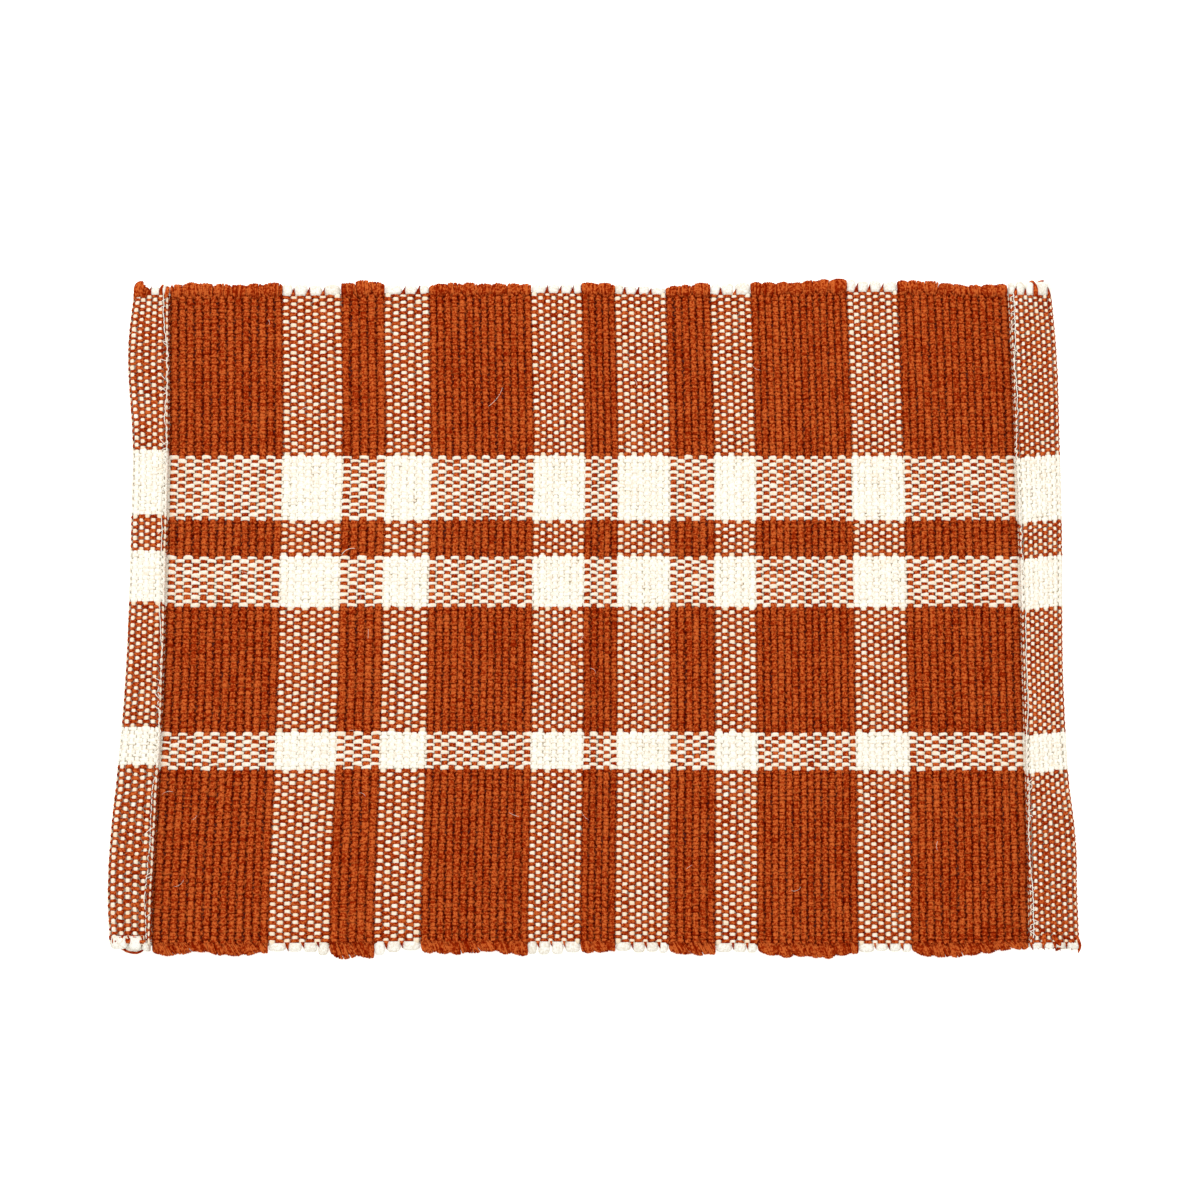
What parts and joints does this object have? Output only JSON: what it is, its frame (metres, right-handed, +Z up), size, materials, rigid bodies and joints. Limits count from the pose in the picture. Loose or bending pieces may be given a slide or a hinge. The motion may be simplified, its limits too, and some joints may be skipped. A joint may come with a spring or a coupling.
{
  "type": "placemat",
  "caption": "Flat rectangular placemat of thick ribbed cloth in a two-tone plaid, with looped selvedges and a double-turned hem at each end.",
  "frame": {"origin": "middle of the mat's bounding box, on the flat underside", "axes": "+X along the long side from the left hem to the right hem, +Y across the mat to the far selvedge, +Z up out of the hemmed face"},
  "size_m": [0.4652, 0.3333, 0.0074],
  "materials": {
    "woven_cotton": "matte plain weave of thick soft rust and cream cotton yarn"
  },
  "bodies": {
    "root": {"placemat": "woven_cotton"}
  },
  "joints": []
}
